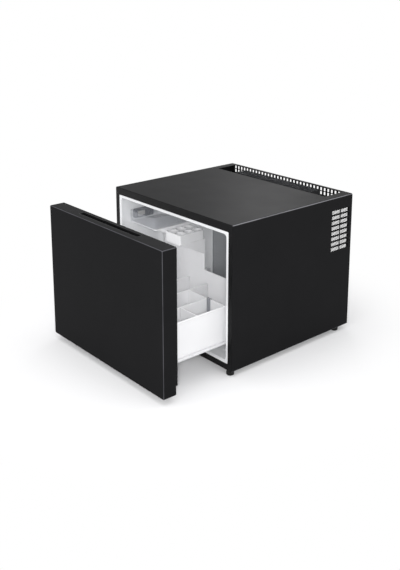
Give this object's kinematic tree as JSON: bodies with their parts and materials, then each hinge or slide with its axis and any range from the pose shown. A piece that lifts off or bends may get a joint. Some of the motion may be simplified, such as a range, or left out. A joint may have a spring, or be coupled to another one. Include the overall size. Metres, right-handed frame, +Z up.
{
  "type": "drawer minibar fridge",
  "caption": "Small fridge whose whole front pulls out as a drawer on roller runners, with a divided basket, a rack with a tray, and a vented machine compartment behind.",
  "frame": {"origin": "on the floor, under the middle of the box round the whole object with its drawer pulled out as in the picture", "axes": "+Z up, -Y the way the drawer opens, +X to the right seen from the front"},
  "size_m": [0.486, 0.663, 0.398],
  "materials": {
    "casing_paint": "satin",
    "black_plastic": "satin",
    "rubber": "matte",
    "white_plastic": "satin",
    "white_steel": "satin",
    "zinc_steel": "satin",
    "aluminium": "satin",
    "copper": "satin",
    "foam": "matte",
    "ceramic": "matte",
    "grey_plastic": "satin",
    "smoke_plastic": "gloss",
    "lens": "satin",
    "circuit_board": "satin"
  },
  "bodies": {
    "cabinet": {"outer_casing": "casing_paint", "base_pan": "zinc_steel", "front_frame": "black_plastic", "foot_front_left": "rubber", "foot_front_right": "rubber", "foot_rear_left": "rubber", "foot_rear_right": "rubber", "inner_liner": "white_plastic", "insulation_foam": "foam", "rear_bulkhead": "zinc_steel", "cold_plate": "aluminium", "cold_block": "aluminium", "thermoelectric_module": "ceramic", "hot_block": "aluminium", "clamp_bolt_left": "zinc_steel", "clamp_bolt_right": "zinc_steel", "condenser": "casing_paint", "vapour_pipe": "copper", "return_pipe": "copper", "rear_cover": "casing_paint", "power_supply": "grey_plastic", "mains_inlet": "black_plastic", "control_housing": "grey_plastic", "lamp_lens": "lens", "lamp_board": "circuit_board", "runner_channel_left": "white_steel", "runner_channel_right": "white_steel", "front_axle_left": "zinc_steel", "front_axle_right": "zinc_steel"},
    "drawer": {"drawer_front_shell": "casing_paint", "grip_cup": "black_plastic", "drawer_front_foam": "foam", "drawer_inner_panel": "white_plastic", "drawer_gasket": "rubber", "drawer_profile_left": "white_steel", "drawer_profile_right": "white_steel", "rear_axle_left": "zinc_steel", "rear_axle_right": "zinc_steel", "basket": "white_plastic", "divider_1": "white_plastic", "divider_2": "white_plastic", "divider_3": "white_plastic", "divider_4": "white_plastic", "rear_partition": "white_plastic", "front_partition": "white_plastic", "divider_clip": "grey_plastic", "rack": "white_plastic", "upper_tray": "smoke_plastic", "miniature_holder": "white_plastic"},
    "front_roller_left": {"front_roller_left": "black_plastic"},
    "front_roller_right": {"front_roller_right": "black_plastic"},
    "rear_roller_left": {"rear_roller_left": "black_plastic"},
    "rear_roller_right": {"rear_roller_right": "black_plastic"},
    "knob": {"thermostat_knob": "grey_plastic"}
  },
  "joints": [
    {"name": "drawer_slide", "type": "slide", "parent": "cabinet", "child": "drawer", "axis": [0, -1, 0], "range_m": [-0.1717, 0.06]},
    {"name": "front_roller_left_spin", "type": "hinge", "parent": "cabinet", "child": "front_roller_left", "pos_m": [-0.21375, -0.1025, 0.0751], "axis": [1, 0, 0], "range_deg": [-1500, 600]},
    {"name": "rear_roller_left_spin", "type": "hinge", "parent": "drawer", "child": "rear_roller_left", "pos_m": [-0.21125, 0.0108, 0.0734], "axis": [1, 0, 0], "range_deg": [-1500, 600]},
    {"name": "front_roller_right_spin", "type": "hinge", "parent": "cabinet", "child": "front_roller_right", "pos_m": [0.21375, -0.1025, 0.0751], "axis": [1, 0, 0], "range_deg": [-1500, 600]},
    {"name": "rear_roller_right_spin", "type": "hinge", "parent": "drawer", "child": "rear_roller_right", "pos_m": [0.21125, 0.0108, 0.0734], "axis": [1, 0, 0], "range_deg": [-1500, 600]},
    {"name": "knob_turn", "type": "hinge", "parent": "cabinet", "child": "knob", "pos_m": [-0.207, -0.0235, 0.316], "axis": [1, 0, 0], "range_deg": [0, 270]}
  ],
  "couplings": [
    {"joint": "front_roller_left_spin", "follows": "drawer_slide", "rad_per_m": 142.86},
    {"joint": "rear_roller_left_spin", "follows": "drawer_slide", "rad_per_m": 142.86},
    {"joint": "front_roller_right_spin", "follows": "drawer_slide", "rad_per_m": 142.86},
    {"joint": "rear_roller_right_spin", "follows": "drawer_slide", "rad_per_m": 142.86}
  ]
}
